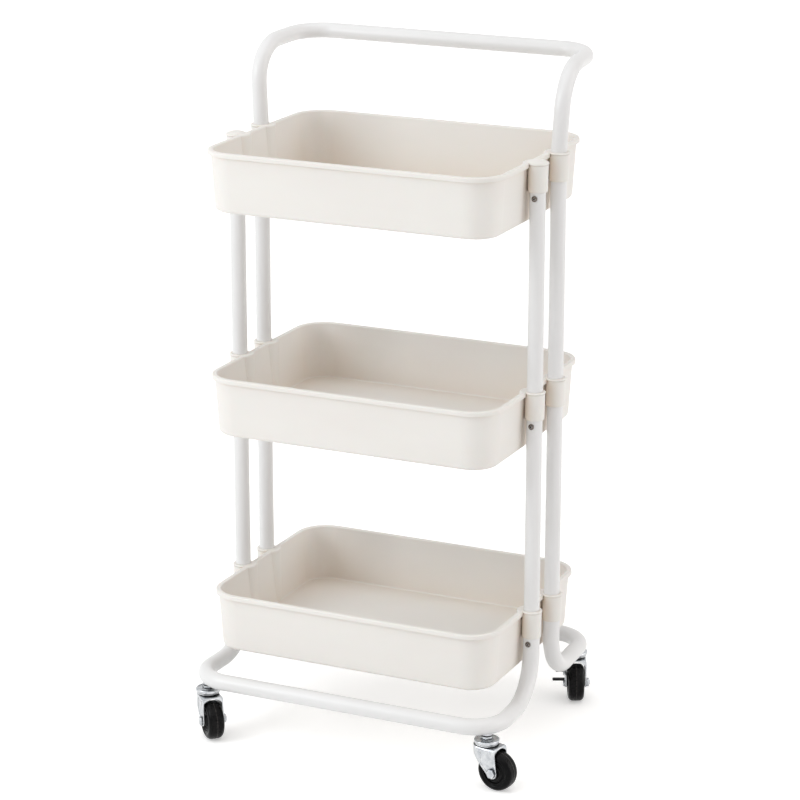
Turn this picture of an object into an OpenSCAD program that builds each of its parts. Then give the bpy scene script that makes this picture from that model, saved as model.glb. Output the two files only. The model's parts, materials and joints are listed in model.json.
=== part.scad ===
// Rolling utility cart: a bent tube frame with a push handle, three deep trays and four swivel casters.
// Millimetres, +Z up. The origin is on the floor under the middle of the cart, and the front faces -Y.

/* [Frame tubes] */
// Outer diameter of the posts and the handle tube
tube_d = 19; // [18:0.5:20]
// Outer diameter of the base tubes
base_d = 20.5; // [19:0.5:21]
// Wall of the frame tubes
tube_wall = 1.2; // [0.9:0.1:1.6]
// Distance from a tray's rim out to the centre of the posts
post_outset = 6.8; // [5:0.2:8]
// Distance between the front and rear posts, centre to centre
post_span_y = 64.5; // [56:0.5:76]
// Distance from the middle of the posts forward to the front base run
base_front = 159; // [150:1:170]
// Distance from the middle of the posts back to the rear base run
base_back = 174; // [165:1:185]
// How much each arm of the front base tube opens out towards the front
base_splay = 4.5; // [0:0.5:8]
// How much each arm of the rear base tube closes in towards the back
base_toe_in = 7; // [0:0.5:9]
// Bend radius of the base tubes where the uprights turn level
base_knee_r = 54; // [48:1:58]
// Bend radius of the base tubes where they turn the corners over the casters
base_corner_r = 42; // [38:1:50]
// How far the reduced spigot under each post reaches past the joint screw
spigot_past = 4; // [3.5:0.5:6]
// Gap between a spigot and the tube that it enters, on each side
spigot_clear = 0.4; // [0.2:0.05:0.5]

/* [Push handle] */
// Height of the handle bar's centre above the top tray's rim
handle_rise = 100; // [85:1:130]
// Distance of the handle bar's centre behind the rear posts
handle_back = 117; // [105:1:140]
// Outward splay of the handle's uprights, in degrees
handle_splay = 3; // [0.5:0.5:5]
// Backward lean of the handle's uprights, in degrees
handle_lean = 1.4; // [0.4:0.2:4]
// Rise of the handle's arms towards the bar, in degrees
arm_rise = 2.2; // [0:0.2:6]
// Distance that each arm closes in towards the bar's end
arm_toe_in = 9.5; // [0:0.5:16]
// Bend radius between an upright and its arm
upright_bend_r = 49; // [40:1:54]
// Bend radius between an arm and the bar
bar_bend_r = 42; // [34:1:46]

/* [Trays] */
// Width of a tray over its rim
tray_w = 381.4; // [370:1:395]
// Depth of a tray over its rim, front to back
tray_d = 294.4; // [280:1:305]
// Height of a tray from its underside to the top of its rim
tray_h = 74; // [66:1:90]
// Corner radius of the rim, seen from above
tray_corner_r = 40; // [34:1:50]
// Wall and floor thickness
tray_wall = 3; // [2.6:0.1:3.6]
// How far the wall leans in from rim to floor
tray_draft = 4.2; // [2:0.2:6]
// Height of the rolled rim
rim_h = 5.7; // [4.8:0.1:8]
// How far the rim stands out from the wall
rim_over = 3.4; // [2.4:0.1:4.4]
// Outer radius where the wall turns into the floor
floor_r = 5; // [4:0.5:8]
// Height of the bottom tray's rim above the floor
bottom_rim_z = 187.3; // [184:0.5:200]
// Distance from one rim to the next
tray_pitch = 276.3; // [240:1:300]

/* [Post sleeves on the trays] */
// Height of a sleeve below the rim
sleeve_h = 35; // [32:1:38]
// Outer radius of a sleeve at its top
sleeve_r = 12.3; // [12:0.1:13]
// How much the sleeve narrows towards its lower end
sleeve_taper = 0.5; // [0:0.1:0.6]
// Height of the bead round the sleeve's mouth
bead_h = 3; // [2:0.2:4]
// How far the bead stands out
bead_out = 0.6; // [0.4:0.1:1.2]
// Gap between a tube and the sleeve round it, on each side
sleeve_clear = 0.15; // [0.1:0.05:0.3]
// Depth of the upper tube's seat below the rim
upper_seat = 17; // [14:0.5:19]
// Thickness of the shoulder between the upper and the lower tube
shoulder_t = 3; // [2:0.5:4]
// Thickness of the roof of a closed sleeve
roof_t = 4; // [3:0.5:6]
// Height of the dome on a closed sleeve
dome_h = 3; // [2:0.5:6]
// Gap between a post and the channel in the wall behind it
channel_gap = 5.3; // [4.6:0.1:6]
// Wall of the half-round bulge inside the tray
bulge_wall = 3.6; // [3:0.1:4.2]

/* [Joint screws] */
// Diameter of the screw thread
screw_d = 4; // [3.5:0.1:4.5]
// Length of the screw under its head
screw_len = 6; // [5:0.5:8]
// Diameter of the screw head
screw_head_d = 7; // [6:0.2:8]
// Height of the screw head
screw_head_h = 2.2; // [1.6:0.1:2.8]
// Distance from a sleeve's lower edge down to the screw
screw_drop = 7; // [6:0.5:8]

/* [Casters] */
// Wheel diameter
wheel_d = 48; // [44:0.5:50]
// Wheel width over the tread
wheel_w = 20.5; // [18:0.5:21]
// Radius of the tyre's shoulders
shoulder_r = 6; // [4:0.5:7]
// Outer diameter of the wheel core that carries the tyre
core_d = 25; // [22:0.5:28]
// Distance from the swivel axis back to the axle
trail = 16; // [14:0.5:18]
// Gap between the tread and the fork's crown
crown_gap = 4.2; // [3:0.2:6]
// Sheet thickness of the fork
fork_t = 1.8; // [1.5:0.1:2.2]
// Outer width of the fork
fork_w = 27; // [26:0.5:29]
// Radius of the eye at the lower end of each fork leg
eye_r = 6.8; // [6:0.2:8]
// Axle diameter
axle_d = 6; // [5:0.5:6.5]
// Width across the flats of the axle's head and nut
axle_af = 10; // [9:0.5:11]
// Swivel stem diameter
stem_d = 8; // [7:0.5:9]
// Bearing ball diameter
ball_d = 3.2; // [2.8:0.1:3.4]
// Number of bearing balls
ball_count = 14; // [10:1:16]
// Outer diameter of the upper race
race_d = 30.6; // [29:0.2:33]
// Height of the lock nut
lock_nut_h = 3.8; // [3:0.2:5]
// Length of bare stem between the lock nut and the base tube
stem_neck = 1.7; // [1:0.1:4]
// Way each caster points: the angle from +X to its trailing side
heading_front_left = -45; // [-180:1:180]
// The same angle for the front right caster
heading_front_right = -11; // [-180:1:180]
// The same angle for the rear left caster
heading_rear_left = 169; // [-180:1:180]
// The same angle for the rear right caster
heading_rear_right = -65; // [-180:1:180]

/* [Brake levers] */
// Distance between the two tabs of a lever
tab_span = 30; // [26:1:34]
// How far the lever's rear tab stands out from its plate
rear_tab_out = 14.5; // [10:0.5:16]
// How far the lever's front tab stands out from its plate
front_tab_out = 9; // [5:0.5:11]
// Height of the lever's pivot above the axle
lever_rise = 13; // [12.5:0.5:14]
// Sheet thickness of the lever
lever_t = 1.6; // [1.4:0.1:2]
// Gap between the released shoe and the tread
shoe_gap = 1.6; // [1.3:0.1:2.5]

/* [Hidden] */
$fn = 64;
CASTERS = ["front_left", "front_right", "rear_left", "rear_right"];
CASTER_PARTS = ["tube_insert", "stem", "lock_nut", "upper_race", "race_balls", "fork", "axle_bolt",
                "wheel_core", "tyre"];
BRAKED = ["rear_left", "rear_right"];
BRAKE_PARTS = ["lever_rivet", "brake_lever", "tab_caps"];
NODES = concat(
    ["front_base_tube", "rear_base_tube",
     "front_left_lower_post", "front_right_lower_post", "rear_left_lower_post", "rear_right_lower_post",
     "front_left_upper_post", "front_right_upper_post", "rear_left_upper_post", "rear_right_upper_post",
     "handle_tube", "bottom_tray", "middle_tray", "top_tray", "joint_screws"],
    [for (c = CASTERS) for (p = CASTER_PARTS) str(c, "_", p)],
    [for (c = BRAKED) for (p = BRAKE_PARTS) str(c, "_", p)]);
node = "all";

tube_r = tube_d / 2;
base_r = base_d / 2;
post_x = tray_w / 2 + post_outset;
post_y = post_span_y / 2;
spigot_r = tube_r - tube_wall - spigot_clear;
spigot_bore_r = spigot_r - tube_wall;
swage_len = 3;
lead_in = 3;
screw_fit = 0.1;
thread_fit = 0.02;
bend_swell = 0.04;
bend_lap = 0.2;
knee_r = 60;
cut = 1;

rim_z = [for (i = [0:2]) bottom_rim_z + i * tray_pitch];
lower_seat = upper_seat + shoulder_t;
screw_z = -sleeve_h - screw_drop;
spigot_len = spigot_past - screw_z - upper_seat;

wheel_r = wheel_d / 2;
leg_y = fork_w / 2;
crown_z = wheel_d + crown_gap;
crown_top = crown_z + fork_t;
neck_h = 1.2;
lower_race_t = 1.5;
lower_race_top = crown_top + neck_h + lower_race_t;
lower_race_r = race_d / 2 - 1.1;
ball_ring_r = 10.5;
ball_z = lower_race_top + ball_d / 2 - 0.2;
groove_clear = 0.1;
upper_race_t = 1.5;
upper_race_z = ball_z + ball_d / 2;
upper_race_top = upper_race_z + upper_race_t;
lock_nut_top = upper_race_top + lock_nut_h;
base_z = lock_nut_top + stem_neck + base_r;
insert_r = 6.5;
insert_fit = 0.1;
insert_top = base_z + 5;
stem_r = stem_d / 2;
stem_fit = 0.08;
bush_fit = 0.05;
stem_head_h = 1.7;
axle_r = axle_d / 2;
axle_fit = 0.06;
run_gap = 0.3;

// The origin is half way between the base runs, a little behind the middle of the posts
middle_y = (base_back - base_front) / 2;

frame_colour = [0.93, 0.93, 0.93];
tray_colour = [0.91, 0.89, 0.85];
zinc_colour = [0.78, 0.79, 0.80];
steel_colour = [0.66, 0.67, 0.69];
tyre_colour = [0.07, 0.07, 0.08];

// ---- bent tubes ----

function unit(v) = v / norm(v);

// A bend at point p between its neighbours a and b: [tangent length, centre, side, along, normal, sweep]
function bend_at(a, p, b, r) =
    let (u = unit(a - p), v = unit(b - p), half = acos(u * v) / 2, reach = r / tan(half))
    let (centre = p + unit(u + v) * r / sin(half), side = unit(p + u * reach - centre))
    let (normal = unit(cross(side, p + v * reach - centre)))
    [reach, centre, side, cross(normal, side), normal, 180 - 2 * half];

module framed(centre, x, y, z) {
    multmatrix([[x[0], y[0], z[0], centre[0]],
                [x[1], y[1], z[1], centre[1]],
                [x[2], y[2], z[2], centre[2]],
                [0, 0, 0, 1]]) children();
}

module tube_ring(r, extra) {
    difference() {
        circle(r = r + extra);
        circle(r = r - tube_wall - extra);
    }
}

// Tube of outer radius r along the corner points, with one bend radius for each inner point.
// A bend's wall is swollen by a hair, and the straights lap into it.
module bent_tube(points, radii, r) {
    last = len(points) - 1;
    bends = [for (i = [1:last - 1]) bend_at(points[i - 1], points[i], points[i + 1], radii[i - 1])];
    for (i = [0:last - 1]) {
        along = unit(points[i + 1] - points[i]);
        start = points[i] + along * (i == 0 ? 0 : bends[i - 1][0] - bend_lap);
        end = points[i + 1] - along * (i == last - 1 ? 0 : bends[i][0] - bend_lap);
        side = i == last - 1 ? bends[i - 1][4] : bends[i][2];
        framed(start, side, cross(along, side), along)
            linear_extrude(norm(end - start)) tube_ring(r, 0);
        if (i < last - 1)
            framed(bends[i][1], bends[i][2], bends[i][3], bends[i][4])
                rotate_extrude(angle = bends[i][5]) translate([radii[i], 0]) tube_ring(r, bend_swell);
    }
}

// Reduced end that drops into the tube below, closed to the tube's wall by a swaged collar
module spigot() {
    difference() {
        union() {
            translate([0, 0, -spigot_len + lead_in])
                cylinder(r = spigot_r, h = spigot_len - lead_in + swage_len);
            translate([0, 0, -spigot_len]) cylinder(r1 = spigot_r - 0.6, r2 = spigot_r, h = lead_in);
            cylinder(r = tube_r - tube_wall / 2, h = swage_len);
        }
        translate([0, 0, -spigot_len - cut])
            cylinder(r = spigot_bore_r, h = spigot_len + swage_len + 2 * cut);
    }
}

// Hole for a joint screw through the wall that faces away from the cart's middle, on the tube at the origin
module screw_hole(side_y, r) {
    rotate([side_y * -90, 0, 0]) cylinder(r = r, h = base_r + cut);
}

module at_posts(sides_y) {
    for (x = [-1, 1]) for (y = sides_y) translate([x * post_x, y * post_y, 0]) children();
}

// ---- frame ----

// Corner points of a base tube's right half, from the foot of its upright to the middle of its run
function base_corners(side_y) = [
    [post_x, side_y * post_y, base_z],
    side_y > 0 ? [post_x - base_toe_in, base_back, base_z] : [post_x + base_splay, -base_front, base_z],
    [0, side_y > 0 ? base_back : -base_front, base_z]];

// The swivel axis is under the middle of the corner bend
function caster_at(side_x, side_y) =
    let (c = base_corners(side_y), u = unit(c[0] - c[1]), v = unit(c[2] - c[1]))
    let (mid = c[1] + unit(u + v) * base_corner_r * (1 / sin(acos(u * v) / 2) - 1))
    [side_x * mid[0], mid[1], 0];

module base_tube(side_y) {
    c = base_corners(side_y);
    right = [[post_x, side_y * post_y, rim_z[0] - lower_seat], c[0], c[1]];
    points = concat(right, [for (i = [2:-1:0]) [-right[i][0], right[i][1], right[i][2]]]);
    color(frame_colour) difference() {
        bent_tube(points, [base_knee_r, base_corner_r, base_corner_r, base_knee_r], base_r);
        at_posts([side_y]) translate([0, 0, rim_z[0] + screw_z])
            screw_hole(side_y, screw_d / 2 + screw_fit);
        for (x = [-1, 1]) translate(caster_at(x, side_y)) translate([0, 0, lock_nut_top])
            cylinder(r = insert_r + insert_fit, h = base_z - lock_nut_top);
    }
}

module post(level, side_x, side_y) {
    closed_top = level == 1 && side_y < 0;
    bottom = rim_z[level] - upper_seat;
    top = rim_z[level + 1] - (closed_top ? roof_t : lower_seat);
    color(frame_colour) translate([side_x * post_x, side_y * post_y, 0]) difference() {
        union() {
            translate([0, 0, bottom]) linear_extrude(top - bottom) tube_ring(tube_r, 0);
            translate([0, 0, bottom]) spigot();
        }
        translate([0, 0, rim_z[level + 1] + screw_z]) screw_hole(side_y, screw_d / 2 + screw_fit);
        translate([0, 0, rim_z[level] + screw_z]) screw_hole(side_y, screw_d / 2 + thread_fit);
    }
}

module handle_tube() {
    bottom = rim_z[2] - upper_seat;
    knee = rim_z[2] + 4;
    bar = rim_z[2] + handle_rise;
    corner = bar - handle_back * tan(arm_rise);
    corner_x = post_x + (corner - knee) * tan(handle_splay);
    corner_y = post_y + (corner - knee) * tan(handle_lean);
    bar_y = post_y + handle_back;
    right = [[post_x, post_y, bottom], [post_x, post_y, knee], [corner_x, corner_y, corner],
             [corner_x - arm_toe_in, bar_y, bar]];
    points = concat(right, [for (i = [3:-1:0]) [-right[i][0], right[i][1], right[i][2]]]);
    radii = [knee_r, upright_bend_r, bar_bend_r, bar_bend_r, upright_bend_r, knee_r];
    color(frame_colour) difference() {
        union() {
            bent_tube(points, radii, tube_r);
            at_posts([1]) translate([0, 0, bottom]) spigot();
        }
        at_posts([1]) translate([0, 0, rim_z[2] + screw_z]) screw_hole(1, screw_d / 2 + thread_fit);
    }
}

// Pan head screw with a cross recess, its head on the tube's wall
module joint_screw() {
    difference() {
        union() {
            translate([0, 0, -screw_len]) cylinder(d = screw_d, h = screw_len);
            intersection() {
                cylinder(d = screw_head_d, h = screw_head_h);
                translate([0, 0, screw_head_h - screw_head_d * 0.8]) sphere(r = screw_head_d * 0.8);
            }
        }
        for (a = [0, 90]) rotate(a) translate([-1.7, -0.4, screw_head_h - 1.2]) cube([3.4, 0.8, 2]);
    }
}

// Radius of the tube that enters a tray's sleeves from below
function lower_tube_r(level) = level == 0 ? base_r : tube_r;

module joint_screws() {
    color(zinc_colour)
        for (level = [0:2]) for (y = [-1, 1]) at_posts([y])
            translate([0, y * lower_tube_r(level), rim_z[level] + screw_z])
                rotate([-90 * y, 0, 0]) joint_screw();
}

// ---- trays ----

tray_x = tray_w / 2;
tray_y = tray_d / 2;
rim_w = rim_over + tray_wall;
rim_round = 2;
floor_lap = 8;
floor_reach = rim_over + tray_draft + floor_r + floor_lap;
wall_foot = -rim_over - tray_draft;

// Section of rim, wall and floor edge; x = 0 is the rim's outer edge and y = 0 its top
module tray_section() {
    translate([-rim_w, -rim_h]) square([rim_w, rim_h - rim_round]);
    translate([-rim_w + rim_round, -rim_h]) square([rim_w - 2 * rim_round, rim_h]);
    for (x = [-rim_round, rim_round - rim_w]) translate([x, -rim_round]) circle(r = rim_round);
    polygon([[-rim_over, -rim_h / 2], [wall_foot, floor_r - tray_h],
             [wall_foot - tray_wall, floor_r - tray_h], [-rim_w, -rim_h / 2]]);
    translate([wall_foot - floor_r, floor_r - tray_h]) intersection() {
        difference() {
            circle(r = floor_r);
            circle(r = floor_r - tray_wall);
        }
        translate([0, -floor_r]) square(floor_r);
    }
    translate([-floor_reach, -tray_h]) square([floor_reach + wall_foot - floor_r, tray_wall]);
}

module tray_shell() {
    straight_x = tray_x - tray_corner_r;
    straight_y = tray_y - tray_corner_r;
    for (i = [0:3]) {
        side = i == 0 || i == 3 ? 1 : -1;
        deep = i < 2 ? 1 : -1;
        translate([side * straight_x, deep * straight_y, 0]) rotate(90 * i)
            rotate_extrude(angle = 90) translate([tray_corner_r, 0]) tray_section();
        reach = i % 2 == 0 ? tray_x : tray_y;
        run = i % 2 == 0 ? straight_y : straight_x;
        rotate(90 * i) translate([reach, 0, 0]) rotate([90, 0, 0])
            linear_extrude(2 * run, center = true) tray_section();
    }
    translate([0, 0, -tray_h]) linear_extrude(tray_wall) {
        square([2 * (tray_x - floor_reach), 2 * straight_y], center = true);
        square([2 * straight_x, 2 * (tray_y - floor_reach)], center = true);
        for (x = [-1, 1]) for (y = [-1, 1])
            translate([x * straight_x, y * straight_y]) circle(r = tray_corner_r - floor_reach);
    }
}

channel_r = tube_r + channel_gap;
bulge_r = channel_r + bulge_wall;

// Half-round bulge inside the end wall, behind one post; +X points out of the tray
module post_bulge() {
    wall_top = tray_x - rim_over - post_x;
    wall_low = tray_x + wall_foot - post_x;
    intersection() {
        rotate_extrude() {
            translate([0, -tray_h]) square([bulge_r, tray_h - rim_round]);
            square_top = bulge_r - rim_round;
            translate([0, -rim_round]) square([square_top, rim_round]);
            translate([square_top, -rim_round]) circle(r = rim_round);
        }
        rotate([90, 0, 0]) linear_extrude(2 * bulge_r + cut, center = true)
            polygon([[-bulge_r - cut, -tray_h], [wall_low - floor_r, -tray_h], [wall_low, floor_r - tray_h],
                     [wall_top, -rim_h], [wall_top, 0], [-bulge_r - cut, 0]]);
    }
}

module sleeve_body(closed) {
    foot_r = sleeve_r - sleeve_taper;
    foot_round = 1.5;
    bead_r = sleeve_r + bead_out;
    rotate_extrude() {
        polygon([[0, -bead_h], [sleeve_r, -bead_h],
                 [foot_r, foot_round - sleeve_h], [0, foot_round - sleeve_h]]);
        translate([0, -sleeve_h]) square([foot_r - foot_round, foot_round]);
        intersection() {
            translate([foot_r - foot_round, foot_round - sleeve_h]) circle(r = foot_round);
            translate([foot_r - foot_round, -sleeve_h]) square(foot_round);
        }
        translate([0, -bead_h]) square([bead_r - bead_h / 2, bead_h]);
        translate([bead_r - bead_h / 2, -bead_h / 2]) circle(r = bead_h / 2);
    }
    if (closed) {
        dome_r = (sleeve_r * sleeve_r + dome_h * dome_h) / (2 * dome_h);
        intersection() {
            translate([0, 0, dome_h - dome_r]) sphere(r = dome_r, $fn = 96);
            translate([0, 0, -cut]) cylinder(r = sleeve_r, h = dome_h + cut);
        }
    }
}

module sleeve_hollow(closed, lower_r) {
    seat_top = closed ? -roof_t : -lower_seat;
    translate([0, 0, -sleeve_h - cut]) cylinder(r = lower_r + sleeve_clear, h = seat_top + sleeve_h + cut);
    translate([0, 0, -tray_h - cut]) cylinder(r = channel_r, h = tray_h - sleeve_h + cut);
    if (!closed) {
        translate([0, 0, -upper_seat]) cylinder(r = tube_r + sleeve_clear, h = upper_seat + cut);
        translate([0, 0, -lower_seat - cut])
            cylinder(r = spigot_r + sleeve_clear, h = shoulder_t + 2 * cut);
    }
}

// Tongue under a closed sleeve's roof that the joint screw bites into
module sleeve_tongue(side_y) {
    reach = -screw_z + 6;
    difference() {
        translate([0, 0, -reach]) cylinder(r = spigot_r, h = reach - roof_t);
        translate([0, 0, -reach - cut]) cylinder(r = spigot_r - tray_wall, h = reach - roof_t + cut);
        translate([0, 0, screw_z]) screw_hole(side_y, screw_d / 2 + thread_fit);
    }
}

module tray(level) {
    closed_sides = level == 2 ? [-1] : [];
    color(tray_colour) translate([0, 0, rim_z[level]]) {
        difference() {
            union() {
                tray_shell();
                for (x = [0, 1]) rotate(180 * x)
                    for (y = [-1, 1]) translate([post_x, y * post_y, 0]) post_bulge();
                at_posts([-1]) sleeve_body(len(closed_sides) > 0);
                at_posts([1]) sleeve_body(false);
            }
            at_posts([-1]) sleeve_hollow(len(closed_sides) > 0, lower_tube_r(level));
            at_posts([1]) sleeve_hollow(false, lower_tube_r(level));
        }
        at_posts(closed_sides) sleeve_tongue(-1);
    }
}

// ---- casters; the swivel axis is at x = y = 0 and the wheel trails towards +X ----

module tube_insert() {
    bottom = base_z - base_r - insert_fit;
    color(steel_colour) difference() {
        translate([0, 0, bottom]) cylinder(r = insert_r, h = insert_top - bottom);
        translate([0, 0, bottom - cut]) cylinder(r = stem_r + bush_fit, h = insert_top - bottom + 2 * cut);
    }
}

module stem() {
    under = crown_z - groove_clear;
    head_r = stem_r + 3;
    color(zinc_colour) {
        translate([0, 0, under]) cylinder(r = stem_r, h = insert_top - 1 - under);
        translate([0, 0, under - stem_head_h]) cylinder(r1 = head_r - 1.2, r2 = head_r, h = stem_head_h);
    }
}

module hex_prism(across_flats, h, bore) {
    difference() {
        cylinder(d = across_flats / cos(30), h = h, $fn = 6);
        translate([0, 0, -cut]) cylinder(r = bore, h = h + 2 * cut);
    }
}

module lock_nut() {
    across_flats = stem_d * 1.62;
    color(zinc_colour) translate([0, 0, upper_race_top])
        hex_prism(across_flats, lock_nut_h, stem_r + bush_fit);
}

// Dished disc with a turned-down rim and a shallow ring round the nut
module upper_race() {
    rim_round_r = 1;
    outer = race_d / 2;
    skirt = lower_race_top + 0.9;
    color(zinc_colour) rotate_extrude() difference() {
        union() {
            translate([0, upper_race_z]) square([outer - rim_round_r, upper_race_t]);
            translate([outer - rim_round_r, upper_race_top - rim_round_r]) circle(r = rim_round_r);
            translate([outer - 1.4, skirt]) square([1.4, upper_race_top - rim_round_r - skirt]);
        }
        translate([0, upper_race_z - cut]) square([stem_r + bush_fit, upper_race_t + 2 * cut]);
        translate([stem_d, upper_race_top - 0.6]) square([outer - 2.4 - stem_d, 1]);
    }
}

module race_balls() {
    color(steel_colour) for (i = [0:ball_count - 1])
        rotate(360 * i / ball_count) translate([ball_ring_r, 0, ball_z]) sphere(d = ball_d, $fn = 24);
}

fork_front = 3;
leg_top_x = 19;

// Tangent point on the eye for the leg edge that comes from point p; turn is +1 or -1
function eye_tangent(p, r, turn) =
    let (c = [trail, wheel_r], d = norm(p - c), lean = acos(r / d), dir = atan2(p[1] - c[1], p[0] - c[0]))
    c + r * [cos(dir + turn * lean), sin(dir + turn * lean)];

// Side outline of a fork leg: sloping front edge, steep rear edge and a round eye at the axle
module leg_outline(inset) {
    front_x = -leg_y - fork_front + inset;
    front = [front_x, crown_top - 5.4 + inset / 2];
    top = crown_top - inset;
    rear = [leg_top_x - inset, top];
    r = eye_r - inset;
    translate([trail, wheel_r]) circle(r = r);
    polygon([[front_x, top], front, eye_tangent(front, r, 1), [trail, wheel_r],
             eye_tangent(rear, r, -1), rear]);
}

module along_y(width) {
    rotate([90, 0, 0]) linear_extrude(width, center = true) children();
}

// Plan of the fork: a round front and an open rear
module fork_plan(half, rear) {
    translate([-fork_front, 0]) circle(r = half);
    translate([-fork_front, -half]) square([rear + fork_front, 2 * half]);
}

// Cross-section of the fork's shoulders, seen from the rear
module fork_end_section() {
    shoulder = 3;
    translate([-leg_y, 0]) square([fork_w, crown_top - shoulder]);
    translate([-leg_y + shoulder, 0]) square([fork_w - 2 * shoulder, crown_top]);
    for (y = [-1, 1]) translate([y * (leg_y - shoulder), crown_top - shoulder]) circle(r = shoulder);
}

// Arched opening over the wheel at the fork's rear end
module fork_arch() {
    arch_r = fork_w * 0.58;
    intersection() {
        union() {
            translate([0, crown_z - arch_r]) circle(r = arch_r);
            translate([-leg_y, 0]) square([fork_w, crown_z - arch_r]);
        }
        translate([fork_t - leg_y, 0]) square([fork_w - 2 * fork_t, crown_z]);
    }
}

module along_x(length) {
    rotate([90, 0, 90]) linear_extrude(length) children();
}

module fork(braked) {
    rear = trail + eye_r;
    panel = 0.4;
    color(zinc_colour) difference() {
        union() {
            intersection() {
                linear_extrude(crown_top) fork_plan(leg_y, rear);
                along_y(fork_w + cut) leg_outline(0);
                translate([-leg_y - fork_front - cut, 0, 0]) along_x(rear + leg_y + fork_front + 2 * cut)
                    fork_end_section();
            }
            translate([0, 0, crown_top - cut]) cylinder(r = ball_ring_r + 0.5, h = neck_h + cut);
            translate([0, 0, crown_top + neck_h]) cylinder(r = lower_race_r, h = lower_race_t);
        }
        linear_extrude(crown_z) fork_plan(leg_y - fork_t, leg_top_x - fork_t);
        translate([leg_top_x - fork_t - 0.5, 0, 0]) along_x(rear) fork_arch();
        for (y = [-1, 1]) translate([0, y * (leg_y + cut - panel), 0]) along_y(2 * cut)
            intersection() {
                leg_outline(2.4);
                square([rear, crown_top - 4]);
            }
        translate([0, 0, crown_z - cut]) cylinder(r = stem_r + stem_fit, h = crown_top);
        translate([0, 0, ball_z]) rotate_extrude() translate([ball_ring_r, 0])
            circle(r = ball_d / 2 + groove_clear, $fn = 32);
        translate([trail, 0, wheel_r]) rotate([90, 0, 0])
            cylinder(r = axle_r + bush_fit, h = fork_w + cut, center = true);
        if (braked) translate([trail, 0, wheel_r + lever_rise]) rotate([90, 0, 0])
            cylinder(r = rivet_r + bush_fit, h = fork_w);
    }
}

axle_head_h = 3;
axle_nut_h = 3.6;
bolt_past = 0.8;

module axle_bolt() {
    color(zinc_colour) translate([trail, 0, wheel_r]) {
        rotate([90, 0, 0]) {
            translate([0, 0, leg_y]) cylinder(d = axle_af / cos(30), h = axle_head_h, $fn = 6);
            translate([0, 0, -leg_y - axle_nut_h - bolt_past])
                cylinder(r = axle_r, h = fork_w + axle_nut_h + bolt_past);
        }
        translate([0, leg_y, 0]) rotate([-90, 0, 0]) hex_prism(axle_af, axle_nut_h, axle_r + thread_fit);
    }
}

module at_axle() {
    translate([trail, 0, wheel_r]) rotate([90, 0, 0]) children();
}

module wheel_core() {
    hub_w = fork_w - 2 * fork_t - 2 * run_gap;
    web_w = 12;
    color(tyre_colour) at_axle() difference() {
        union() {
            cylinder(r = axle_r + 3, h = hub_w, center = true);
            cylinder(d = core_d, h = web_w, center = true);
        }
        cylinder(r = axle_r + axle_fit, h = hub_w + 2 * cut, center = true);
    }
}

module tyre() {
    half = wheel_w / 2;
    inner = core_d / 2 + 0.1;
    lip = 1.2;
    color(tyre_colour) at_axle() rotate_extrude($fn = 96) difference() {
        union() {
            translate([inner, -half + lip]) square([lip, wheel_w - 2 * lip]);
            translate([inner + lip, -half]) square([wheel_r - shoulder_r - inner - lip, wheel_w]);
            for (y = [-1, 1]) translate([inner + lip, y * (half - lip)]) circle(r = lip);
            translate([wheel_r - shoulder_r - cut, -half + shoulder_r])
                square([shoulder_r + cut, wheel_w - 2 * shoulder_r]);
            for (y = [-1, 1])
                translate([wheel_r - shoulder_r, y * (half - shoulder_r)]) circle(r = shoulder_r);
        }
        translate([0, -wheel_w]) square([inner, 2 * wheel_w]);
    }
}

rivet_r = 2.3;
plate_y = leg_y + run_gap;
plate_h = 9;
web_h = plate_h - 2;

module lever_rivet() {
    inner_head = 0.8;
    outer_z = plate_y + lever_t + 0.2;
    color(zinc_colour) translate([trail, 0, wheel_r + lever_rise]) rotate([90, 0, 0]) {
        translate([0, 0, leg_y - fork_t - inner_head]) cylinder(r = rivet_r + 1.4, h = inner_head);
        translate([0, 0, leg_y - fork_t]) cylinder(r = rivet_r, h = outer_z - leg_y + fork_t);
        translate([0, 0, outer_z]) cylinder(r1 = rivet_r + 1.6, r2 = rivet_r + 0.8, h = 1);
    }
}

tab_t = 1.2;
tab_deep = 4;
cap_wall = 0.6;
cap_fit = 0.05;
tab_z = -web_h / 2;

// Both tabs, seen from the lever's pivot: where each one stands and how far it reaches out
TABS = [[[-tab_span / 2, 0, tab_z], front_tab_out], [[tab_span / 2, 0, tab_z], rear_tab_out]];

// The lever is on the fork's -Y side, and is drawn with +Y pointing away from the wheel
module at_lever() {
    translate([trail, 0, wheel_r + lever_rise]) mirror([0, 1, 0]) translate([0, plate_y, 0]) children();
}

// Rocker plate outside the leg, with a tab at each end and a shoe in front of the tread
module brake_lever() {
    shoe_angle = -70;
    shoe_r = wheel_r + shoe_gap;
    shoe_len = 9;
    shoe_in = 3;
    arm_over = 0.5;
    color(zinc_colour) at_lever() difference() {
        union() {
            rotate([90, 0, 0]) translate([0, 0, -lever_t]) linear_extrude(lever_t) {
                square([tab_span + tab_deep, web_h], center = true);
                circle(d = plate_h);
                // Arm out to the shoe
                translate([0, -lever_rise]) rotate(-shoe_angle)
                    translate([-shoe_len / 2 - arm_over, wheel_r - 6])
                        square([shoe_len + 2 * arm_over, 6 + shoe_gap + lever_t + arm_over]);
            }
            for (tab = TABS) translate(tab[0]) translate([-tab_deep / 2, 0, 0])
                cube([tab_deep, lever_t + tab[1], tab_t]);
            // The shoe reaches in over the tread
            translate([0, 0, -lever_rise]) rotate([0, shoe_angle, 0])
                translate([-shoe_len / 2, -plate_y - shoe_in, shoe_r])
                    cube([shoe_len, plate_y + shoe_in + lever_t / 2, lever_t]);
        }
        rotate([90, 0, 0]) cylinder(r = rivet_r + axle_fit, h = fork_w, center = true);
    }
}

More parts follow.
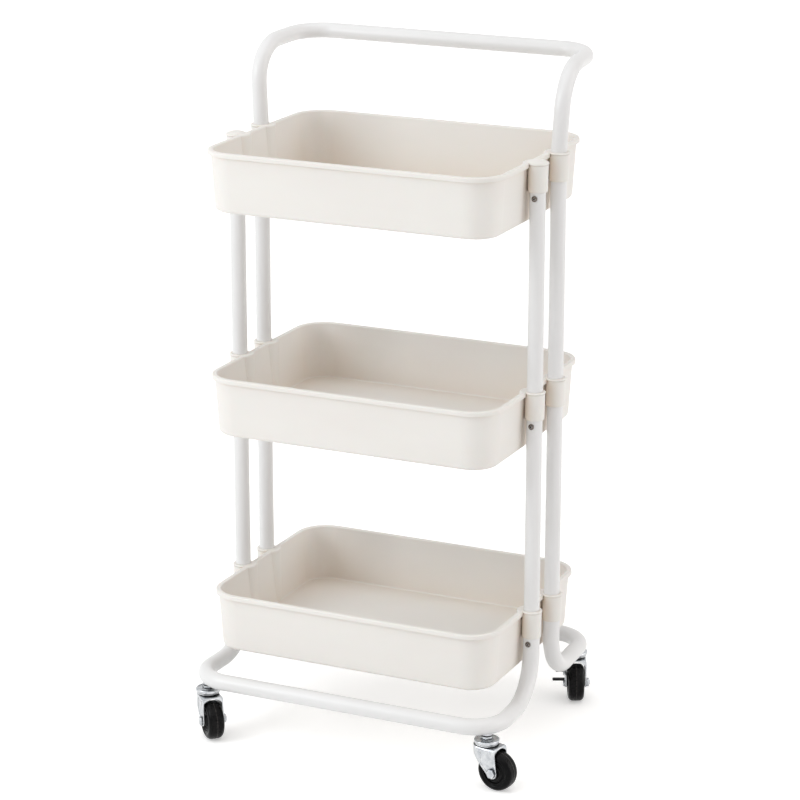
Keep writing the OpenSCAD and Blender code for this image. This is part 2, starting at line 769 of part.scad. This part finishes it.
// Plastic caps pushed over the two tabs
module tab_caps() {
    fit = cap_fit + cap_wall;
    start = 0.2;
    color(tyre_colour) at_lever() for (tab = TABS) translate(tab[0] + [0, lever_t, 0]) difference() {
        translate([-tab_deep / 2 - fit, start, -fit])
            cube([tab_deep + 2 * fit, tab[1] + cap_wall, tab_t + 2 * fit]);
        translate([-tab_deep / 2 - cap_fit, 0, -cap_fit])
            cube([tab_deep + 2 * cap_fit, tab[1] + cap_fit, tab_t + 2 * cap_fit]);
    }
}

// ---- placing ----

function heading(name) =
    name == "front_left" ? heading_front_left :
    name == "front_right" ? heading_front_right :
    name == "rear_left" ? heading_rear_left : heading_rear_right;

function side_x(name) = name == "front_left" || name == "rear_left" ? -1 : 1;
function side_y(name) = name == "front_left" || name == "front_right" ? -1 : 1;
function wanted(name) = node == "all" || node == name;

module in_place() {
    translate([0, -middle_y, 0]) children();
}

module at_caster(name) {
    in_place() translate(caster_at(side_x(name), side_y(name))) rotate(heading(name)) children();
}

if (wanted("front_base_tube")) in_place() base_tube(-1);
if (wanted("rear_base_tube")) in_place() base_tube(1);
for (c = CASTERS) {
    if (wanted(str(c, "_lower_post"))) in_place() post(0, side_x(c), side_y(c));
    if (wanted(str(c, "_upper_post"))) in_place() post(1, side_x(c), side_y(c));
}
if (wanted("handle_tube")) in_place() handle_tube();
if (wanted("bottom_tray")) in_place() tray(0);
if (wanted("middle_tray")) in_place() tray(1);
if (wanted("top_tray")) in_place() tray(2);
if (wanted("joint_screws")) in_place() joint_screws();
for (c = CASTERS) {
    if (wanted(str(c, "_tube_insert"))) at_caster(c) tube_insert();
    if (wanted(str(c, "_stem"))) at_caster(c) stem();
    if (wanted(str(c, "_lock_nut"))) at_caster(c) lock_nut();
    if (wanted(str(c, "_upper_race"))) at_caster(c) upper_race();
    if (wanted(str(c, "_race_balls"))) at_caster(c) race_balls();
    if (wanted(str(c, "_fork"))) at_caster(c) fork(side_y(c) > 0);
    if (wanted(str(c, "_axle_bolt"))) at_caster(c) axle_bolt();
    if (wanted(str(c, "_wheel_core"))) at_caster(c) wheel_core();
    if (wanted(str(c, "_tyre"))) at_caster(c) tyre();
}
for (c = BRAKED) {
    if (wanted(str(c, "_lever_rivet"))) at_caster(c) lever_rivet();
    if (wanted(str(c, "_brake_lever"))) at_caster(c) brake_lever();
    if (wanted(str(c, "_tab_caps"))) at_caster(c) tab_caps();
}
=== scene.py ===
# Rolling utility cart: finishes, rounded metal edges, wheels, studio and camera round the frame.
import json
import math

import bmesh
import bpy
from mathutils import Matrix, Vector


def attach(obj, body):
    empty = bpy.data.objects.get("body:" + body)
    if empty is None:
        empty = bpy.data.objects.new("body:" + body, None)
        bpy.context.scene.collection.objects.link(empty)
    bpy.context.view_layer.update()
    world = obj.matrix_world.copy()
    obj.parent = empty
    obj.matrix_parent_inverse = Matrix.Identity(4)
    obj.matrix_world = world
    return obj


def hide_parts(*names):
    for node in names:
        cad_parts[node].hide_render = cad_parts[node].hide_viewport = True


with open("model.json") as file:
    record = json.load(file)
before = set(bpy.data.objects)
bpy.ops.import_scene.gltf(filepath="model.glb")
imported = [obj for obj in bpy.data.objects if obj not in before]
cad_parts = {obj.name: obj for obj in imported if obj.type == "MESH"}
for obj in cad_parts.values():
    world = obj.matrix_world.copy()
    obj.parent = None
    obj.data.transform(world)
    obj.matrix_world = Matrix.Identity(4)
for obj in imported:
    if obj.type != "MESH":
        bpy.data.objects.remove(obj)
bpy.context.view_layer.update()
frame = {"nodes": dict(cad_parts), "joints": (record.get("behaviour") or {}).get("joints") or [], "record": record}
NODES = frame["nodes"]
RECORD = frame["record"]
MM = 0.001
CASTERS = ("front_left", "front_right", "rear_left", "rear_right")
BRAKED = ("rear_left", "rear_right")
WHITE = (1, 1, 1, 1)

HARD_EDGE_DEG = 32      # edges of metal and cap pieces sharper than this are rounded
CREASE_DEG = 38         # a piece is shaded smooth up to this angle
FLAT_DEG = 0.6          # faces closer to one plane than this are joined
WELD = 0.002 * MM       # points closer than this are one point
TYRE_STEPS = 96         # sides of a turned ring
HUB_STEPS = 72

FLOOR_RADIUS = 30       # metres, so that its edge is out of sight
FLOOR_GLOW = 0.36       # lifts the lit floor to white where it is seen
AMBIENT = 0.45          # strength of the light from all round


# ---- finishes ----

class Value:
    """A shader socket that arithmetic works on; each step adds a Math node."""

    def __init__(self, nodes, socket):
        self.nodes = nodes
        self.socket = socket

    def math(self, operation, *operands, clamp=False):
        """Adds a Math node on the operands, which include this value where it is one of them."""
        node = self.nodes.node("ShaderNodeMath", {"operation": operation, "use_clamp": clamp},
                               dict(enumerate(operands)))
        return Value(self.nodes, node.outputs[0])

    def __add__(self, other):
        return self.math("ADD", self, other)

    def __sub__(self, other):
        return self.math("SUBTRACT", self, other)

    def __rsub__(self, other):
        return self.math("SUBTRACT", other, self)

    def __mul__(self, other):
        return self.math("MULTIPLY", self, other)

    def __truediv__(self, other):
        return self.math("DIVIDE", self, other)

    __radd__ = __add__
    __rmul__ = __mul__

    def clamped(self):
        return self.math("ADD", self, 0.0, clamp=True)

    def ramp(self, low, high):
        """0 below low, 1 above high, and straight between them."""
        return ((self - low) / (high - low)).clamped()


class NodeTree:
    """The nodes of a finish or of the studio's world."""

    def __init__(self, owner):
        owner.use_nodes = True
        self.tree = owner.node_tree

    def node(self, kind, settings=None, sockets=None):
        """Adds a node, with its settings first and then the values or links of its sockets."""
        node = self.tree.nodes.new(kind)
        for key, value in (settings or {}).items():
            setattr(node, key, value)
        for key, value in (sockets or {}).items():
            if isinstance(value, Value):
                value = value.socket
            if isinstance(value, bpy.types.NodeSocket):
                self.tree.links.new(value, node.inputs[key])
            else:
                node.inputs[key].default_value = value
        return node

    def shown_directly(self):
        """1 for what is seen, by itself, reflected or through glass, and 0 for what lights the cart."""
        path = self.node("ShaderNodeLightPath")
        camera, glossy, through = (Value(self, path.outputs[ray]) for ray in
                                   ("Is Camera Ray", "Is Glossy Ray", "Is Transmission Ray"))
        return (camera + glossy + through).clamped()

    def surface(self, output, share, first, second):
        """Gives the named output a mix of two shaders."""
        both = self.node("ShaderNodeMixShader", None,
                         {0: share, 1: first.outputs[0], 2: second.outputs[0]})
        self.tree.links.new(both.outputs[0], self.tree.nodes[output].inputs["Surface"])


class Finish(NodeTree):
    """A material, its shader and the values that vary over it."""

    def __init__(self, name, constants):
        self.material = bpy.data.materials.new(name)
        super().__init__(self.material)
        self.shader = self.tree.nodes["Principled BSDF"]
        for socket, value in constants.items():
            self.shader.inputs[socket].default_value = value
        self.place = self.node("ShaderNodeTexCoord").outputs["Object"]

    def noise(self, scale, detail=2.0, roughness=0.5, stretch=(1, 1, 1)):
        """Even random pattern from 0 to 1, of about this many waves to the metre."""
        drawn = self.node("ShaderNodeMapping", None, {"Vector": self.place, "Scale": stretch})
        node = self.node("ShaderNodeTexNoise", None, {"Vector": drawn.outputs[0], "Scale": scale,
                                                      "Detail": detail, "Roughness": roughness})
        return Value(self, node.outputs["Fac"])

    def mix(self, share, first, second):
        """A colour between two, by share of the second."""
        node = self.node("ShaderNodeMix", {"data_type": "RGBA"}, {"Factor": share, 6: first, 7: second})
        return node.outputs[2]

    def rounded_normal(self, radius):
        """The surface's direction, as if its edges were rounded off."""
        return self.node("ShaderNodeBevel", {"samples": 6}, {"Radius": radius}).outputs[0]

    def edges(self, radius):
        """1 on edges that are sharper than the radius, 0 on open faces."""
        hard = self.node("ShaderNodeNewGeometry").outputs["Normal"]
        dot = self.node("ShaderNodeVectorMath", {"operation": "DOT_PRODUCT"},
                        {0: self.rounded_normal(radius), 1: hard})
        return 1.0 - Value(self, dot.outputs["Value"])

    def tucked(self, reach):
        """1 in tight corners and gaps, 0 where nothing stands within reach."""
        node = self.node("ShaderNodeAmbientOcclusion", {"samples": 8}, {"Distance": reach})
        return 1.0 - Value(self, node.outputs["AO"])

    def feed(self, socket, value):
        """Links a varying value to a socket of the shader."""
        if isinstance(value, Value):
            value = value.socket
        self.tree.links.new(value, self.shader.inputs[socket])

    def bump(self, height, strength, distance, rounding=None):
        """Fine relief, with hard edges shaded round where a rounding radius is given."""
        sockets = {"Height": height, "Strength": strength, "Distance": distance}
        if rounding:
            sockets["Normal"] = self.rounded_normal(rounding)
        self.feed("Normal", self.node("ShaderNodeBump", None, sockets).outputs[0])


def srgb(red, green, blue):
    """A colour written as on a paint chart, 0 to 255, in the shader's linear values."""
    def linear(v):
        v /= 255
        return v / 12.92 if v <= 0.04045 else ((v + 0.055) / 1.055) ** 2.4
    return (linear(red), linear(green), linear(blue), 1)


def powder_coat():
    """White powder coat: semi-gloss, with fine orange peel and a trace of uneven tone."""
    f = Finish("white_powder_coat", {"Specular IOR Level": 0.5, "Coat Roughness": 0.18})
    tone = f.noise(9, 3)
    peel = f.noise(900, 2, 0.45)
    f.feed("Base Color", f.mix(tone.ramp(0.3, 0.7), srgb(233, 233, 234), srgb(229, 229, 229)))
    f.feed("Roughness", 0.30 + 0.10 * f.noise(60, 3) + 0.04 * peel)
    f.feed("Coat Weight", 0.20 + 0.10 * tone)
    f.bump(peel, 0.10, 0.0002)
    return f.material


def tray_plastic():
    """Warm off-white moulded plastic: satin and faintly grained, with painted warm shade on its insides and in its
    channels, and painted dark shade lines in tight creases.
    """
    f = Finish("tray_plastic", {"Specular IOR Level": 0.45, "Subsurface Scale": 0.004,
                                "Subsurface Weight": 0.05})
    flow = f.noise(5, 3, stretch=(1, 1, 3))
    grain = f.noise(1700, 2, 0.6)
    tone = f.mix(flow.ramp(0.3, 0.7), srgb(236, 234, 230), srgb(233, 230, 226))
    # Painted shade: a warm, darker tint on the tray's insides and in its channels, where shade and warm bounced
    # light fall.
    tone = f.mix(0.55 * f.tucked(0.1).ramp(0.15, 0.85), tone, srgb(222, 200, 175))
    # Painted shade: dark lines in tight creases, under the rim and along its inner edge.
    f.feed("Base Color", f.mix(0.4 * f.tucked(0.006).ramp(0.35, 0.8), tone, srgb(150, 136, 122)))
    f.feed("Roughness", 0.36 + 0.10 * f.noise(35, 3) + 0.08 * grain)
    f.bump(grain + 0.5 * f.noise(420, 2), 0.10, 0.00012, rounding=0.0005)
    return f.material


def zinc_plate(name, bright, dull):
    """Zinc on steel: rolling lines, small cloudy patches, edges rubbed brighter and painted dark shade in its
    tight corners and gaps.
    """
    f = Finish(name, {"Metallic": 1.0})
    cloud = f.noise(160, 4, 0.6)
    drawn = f.noise(700, 3, 0.6, stretch=(1, 1, 0.12))
    edge = (4.0 * f.edges(0.0006)).clamped()
    # Painted shade: the plating is darkened nearly to black in tight corners and gaps, where shade falls, and is
    # made rougher there.
    crevice_shade = f.tucked(0.006).ramp(0.22, 0.5)
    plate = f.mix(cloud.ramp(0.35, 0.7), bright, dull)
    plate = f.mix(0.92 * crevice_shade, plate, srgb(30, 29, 28))
    f.feed("Base Color", f.mix(edge * (1.0 - crevice_shade), plate, srgb(243, 244, 245)))
    f.feed("Roughness", 0.12 + 0.12 * cloud + 0.08 * drawn - 0.04 * edge + 0.2 * crevice_shade)
    f.bump(drawn + 0.4 * cloud, 0.12, 0.00015, rounding=0.00025)
    return f.material


def plain_steel():
    """Plain steel of the hidden inserts and bearing balls."""
    f = Finish("plain_steel", {"Metallic": 1.0})
    haze = f.noise(400, 3)
    f.feed("Base Color", f.mix(haze, srgb(196, 197, 200), srgb(176, 178, 182)))
    f.feed("Roughness", 0.22 + 0.14 * haze)
    f.bump(haze, 0.08, 0.0001)
    return f.material


def wheel_rubber():
    """Black moulded rubber; the tread is scuffed a little greyer and rougher than the sidewalls."""
    f = Finish("black_rubber", {"Specular IOR Level": 0.09})
    split = f.node("ShaderNodeSeparateXYZ", None,
                   {"Vector": f.node("ShaderNodeUVMap", {"uv_map": "ring"}).outputs[0]})
    radius, height = Value(f, split.outputs[0]), Value(f, split.outputs[1])
    scuff = f.noise(420, 4, 0.65)
    worn = radius.ramp(0.955, 0.99) * scuff.ramp(0.35, 0.75)
    seam = radius.ramp(0.9, 0.95) * (1.0 - height.math("ABSOLUTE", height).ramp(0.012, 0.024))
    black = f.mix(worn, srgb(9, 9, 10), srgb(30, 29, 29))
    f.feed("Base Color", f.mix(seam * scuff.ramp(0.35, 0.65), black, srgb(74, 71, 69)))
    f.feed("Roughness", 0.18 + 0.08 * f.noise(90, 3) + 0.25 * worn)
    f.bump(scuff + 0.5 * f.noise(1500, 2), 0.10, 0.0002)
    return f.material


def black_plastic(name, rough, peel_scale):
    """Black moulded plastic with a fine skin."""
    f = Finish(name, {"Specular IOR Level": 0.16})
    peel = f.noise(peel_scale, 3, 0.55)
    f.feed("Base Color", f.mix(f.noise(70, 3).ramp(0.3, 0.7), srgb(11, 11, 12), srgb(17, 17, 18)))
    f.feed("Roughness", rough + 0.12 * peel)
    f.bump(peel, 0.12, 0.00015)
    return f.material


FINISHES = {
    "frame_paint": powder_coat(),
    "tray_plastic": tray_plastic(),
    "zinc": zinc_plate("bright_zinc", srgb(206, 208, 210), srgb(172, 176, 181)),
    "steel": plain_steel(),
    "tyre_rubber": wheel_rubber(),
    "wheel_plastic": black_plastic("black_wheel_plastic", 0.26, 800),
    "cap_plastic": black_plastic("black_cap_plastic", 0.40, 1500),
}
# The screws of the tube joints are a duller plating than the casters.
SCREW_ZINC = zinc_plate("dulled_screw_zinc", srgb(118, 110, 104), srgb(84, 77, 72))
SLOT_OF = {row["node"]: row["material_slot"] for row in RECORD["subparts"]}


def finish_with(piece, slot):
    """Gives a piece the finish of its slot alone."""
    piece.data.materials.clear()
    piece.data.materials.append(FINISHES[slot])


for name, piece in NODES.items():
    finish_with(piece, SLOT_OF[name])


# ---- pieces ----

def add_piece(name, shape, body, slot, replaced):
    """Makes an object of a finished bmesh and lets it stand for CAD nodes on a body."""
    mesh = bpy.data.meshes.new(name)
    shape.to_mesh(mesh)
    shape.free()
    mesh.shade_smooth()
    mesh.set_sharp_from_angle(angle=math.radians(CREASE_DEG))
    piece = bpy.data.objects.new(name, mesh)
    bpy.context.scene.collection.objects.link(piece)
    finish_with(piece, slot)
    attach(piece, body)
    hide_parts(replaced)
    return piece


def body_of(node):
    """The moving body that a CAD node belongs to."""
    return next(body for body, members in RECORD["behaviour"]["bodies"].items() if node in members)


def softened(node, width, segments=2):
    """Copy of a CAD node with its hard edges rounded off."""
    shape = bmesh.new()
    shape.from_mesh(NODES[node].data)
    bmesh.ops.remove_doubles(shape, verts=shape.verts, dist=WELD)
    bmesh.ops.dissolve_degenerate(shape, edges=shape.edges, dist=WELD)
    bmesh.ops.dissolve_limit(shape, angle_limit=math.radians(FLAT_DEG), verts=shape.verts,
                             edges=shape.edges, use_dissolve_boundaries=False, delimit={"NORMAL"})
    hard = [edge for edge in shape.edges if edge.calc_face_angle(0) > math.radians(HARD_EDGE_DEG)]
    bmesh.ops.bevel(shape, geom=hard, offset=width, segments=segments, profile=0.5, affect="EDGES",
                    clamp_overlap=True, material=-1)
    return add_piece(node + "_rounded", shape, body_of(node), SLOT_OF[node], node)


def turned(outline, place, steps):
    """Closed ring turned round Z from an outline of (radius, height) in mm, then put in place.
    Its UV map holds the radius and the height, each as a share of the outer radius."""
    shape = bmesh.new()
    points = [shape.verts.new((r * MM, 0, z * MM)) for r, z in outline]
    rim = [shape.edges.new((a, b)) for a, b in zip(points, points[1:] + points[:1])]
    bmesh.ops.spin(shape, geom=points + rim, cent=(0, 0, 0), axis=(0, 0, 1), dvec=(0, 0, 0),
                   angle=math.tau, steps=steps, use_merge=True)
    bmesh.ops.remove_doubles(shape, verts=shape.verts, dist=WELD)
    bmesh.ops.recalc_face_normals(shape, faces=shape.faces)
    ring = shape.loops.layers.uv.new("ring")
    outer = max(r for r, z in outline) * MM
    for face in shape.faces:
        for loop in face.loops:
            co = loop.vert.co
            loop[ring].uv = (math.hypot(co.x, co.y) / outer, co.z / outer)
    bmesh.ops.transform(shape, matrix=place, verts=shape.verts)
    return shape


def arc(centre, radius, start, end, steps):
    """Points on an arc of an outline, the angles in degrees from the radius direction."""
    return [(centre[0] + radius * math.cos(math.radians(start + (end - start) * i / steps)),
             centre[1] + radius * math.sin(math.radians(start + (end - start) * i / steps)))
            for i in range(steps + 1)]


def axle_place(caster):
    """Matrix that puts a shape turned round Z on a caster's axle."""
    joint = next(j for j in frame["joints"] if j["name"] == caster + "_wheel_spin")
    turn = Vector(joint["axis"]).to_track_quat("Z", "Y").to_matrix().to_4x4()
    return Matrix.Translation(joint["pos_m"]) @ turn


def mirrored(half):
    """Full outline from its upper half, which runs from the tread or rim to the bore."""
    return half + [(r, -z) for r, z in reversed(half) if z > 0]


def tyre_outline():
    """Tyre: mould line round the tread, round shoulders, a raised ring and a groove on the sidewall."""
    half = [(24.0, 0.0), (24.0, 0.2), (23.88, 0.38), (23.85, 1.6), (23.85, 4.25)]
    half += arc((17.85, 4.25), 6, 6, 78, 12)
    half += [(18.5, 10.2), (18.0, 10.24), (17.55, 10.1), (17.2, 9.7), (16.7, 9.45), (15.4, 9.4),
             (15.0, 9.6), (14.7, 9.95)]
    half += arc((14.1, 9.7), 0.5, 40, 180, 6)
    half += [(13.0, 8.9), (12.6, 8.2)]
    return mirrored(half)


def core_outline():
    """Wheel core: hub, dished web and a rim under the tyre, with a thin raised ring."""
    half = [(12.55, 0.0), (12.55, 8.4), (12.3, 8.75), (11.7, 8.8), (11.3, 8.5), (11.1, 7.6),
            (10.4, 6.9), (9.2, 6.5), (7.9, 6.7), (6.9, 7.6), (6.3, 9.0), (6.0, 10.6), (5.7, 11.2),
            (3.6, 11.3), (3.06, 11.0)]
    return mirrored(half)


for caster in CASTERS:
    wheel = caster + "_wheel"
    place = axle_place(caster)
    add_piece(caster + "_tyre_ring", turned(tyre_outline(), place, TYRE_STEPS), wheel, "tyre_rubber",
              caster + "_tyre")
    add_piece(caster + "_wheel_hub", turned(core_outline(), place, HUB_STEPS), wheel, "wheel_plastic",
              caster + "_wheel_core")
    for part, rounding in (("_fork", 0.3), ("_lock_nut", 0.35), ("_axle_bolt", 0.3),
                           ("_upper_race", 0.15)):
        softened(caster + part, rounding * MM)
for caster in BRAKED:
    softened(caster + "_brake_lever", 0.25 * MM)
    softened(caster + "_lever_rivet", 0.2 * MM)
    softened(caster + "_tab_caps", 0.25 * MM, 3)
screws = softened("joint_screws", 0.12 * MM)
screws.data.materials[0] = SCREW_ZINC


# ---- studio ----

def studio_floor():
    """Wide pale disc that shows white, with the cart's shadow on it."""
    shape = bmesh.new()
    bmesh.ops.create_circle(shape, cap_ends=True, segments=96, radius=FLOOR_RADIUS)
    mesh = bpy.data.meshes.new("studio_floor")
    shape.to_mesh(mesh)
    shape.free()
    floor = bpy.data.objects.new("studio_floor", mesh)
    bpy.context.scene.collection.objects.link(floor)
    f = Finish("pale_floor", {"Roughness": 0.9, "Base Color": srgb(250, 250, 250),
                              "Specular IOR Level": 0.1})
    glow = f.node("ShaderNodeEmission", None, {"Color": WHITE, "Strength": FLOOR_GLOW})
    lifted = f.node("ShaderNodeAddShader", None, {0: f.shader.outputs[0], 1: glow.outputs[0]})
    f.surface("Material Output", f.shown_directly(), f.shader, lifted)
    mesh.materials.append(f.material)


def add_lamp(name, lamp, toward, place=(0, 0, 0)):
    """Puts a lamp in place, shining from the direction it is given."""
    holder = bpy.data.objects.new(name, lamp)
    holder.location = place
    holder.rotation_euler = Vector(toward).to_track_quat("Z", "Y").to_euler()
    bpy.context.scene.collection.objects.link(holder)


def studio_light():
    """Even light from all round, three wide suns and a soft panel at the front left."""
    world = bpy.data.worlds.new("studio")
    bpy.context.scene.world = world
    sky = NodeTree(world)
    ambient = sky.tree.nodes["Background"]
    ambient.inputs["Color"].default_value = (1, 0.97, 0.94, 1)
    ambient.inputs["Strength"].default_value = AMBIENT
    white = sky.node("ShaderNodeBackground", None, {"Color": WHITE})
    sky.surface("World Output", sky.shown_directly(), ambient, white)

    for name, energy, spread, colour, toward in (
            ("soft_key", 0.30, 30, (0.96, 1.0, 1.03), (-0.65, -0.95, 0.55)),
            ("right_fill", 0.85, 45, (1.0, 0.97, 0.95), (1.0, 0.3, 0.35)),
            ("overhead", 1.07, 80, (0.99, 1.0, 1.0), (-0.1, -0.25, 1.0))):
        sun = bpy.data.lights.new(name, "SUN")
        sun.energy = energy
        sun.angle = math.radians(spread)
        sun.color = colour
        add_lamp(name, sun, toward)

    panel = bpy.data.lights.new("left_panel", "AREA")
    panel.energy = 9.5
    panel.size = 0.9
    panel.color = (0.97, 1.0, 1.02)
    panel_place = Vector((-1.3, -1.4, 1.2))
    lit_spot = Vector((-0.1, 0, 0.5))
    add_lamp("left_panel", panel, panel_place - lit_spot, panel_place)


def camera():
    """Long lens from the front right, a little above the cart, with the frame shifted to centre it."""
    lens = bpy.data.cameras.new("view")
    lens.sensor_width = 36
    lens.lens = 132.13
    lens.shift_x = 0.0058
    lens.shift_y = 0.0250
    lens.clip_end = 200
    eye = bpy.data.objects.new("view", lens)
    target = Vector((0, -0.0075, 0.3927))
    azimuth, elevation, reach = math.radians(25.055), math.radians(17.133), 3.6059
    toward = Vector((math.sin(azimuth) * math.cos(elevation), -math.cos(azimuth) * math.cos(elevation),
                     math.sin(elevation)))
    eye.location = target + reach * toward
    eye.rotation_euler = toward.to_track_quat("Z", "Y").to_euler()
    bpy.context.scene.collection.objects.link(eye)
    bpy.context.scene.camera = eye


studio_floor()
studio_light()
camera()
bpy.context.scene.view_settings.view_transform = "Standard"
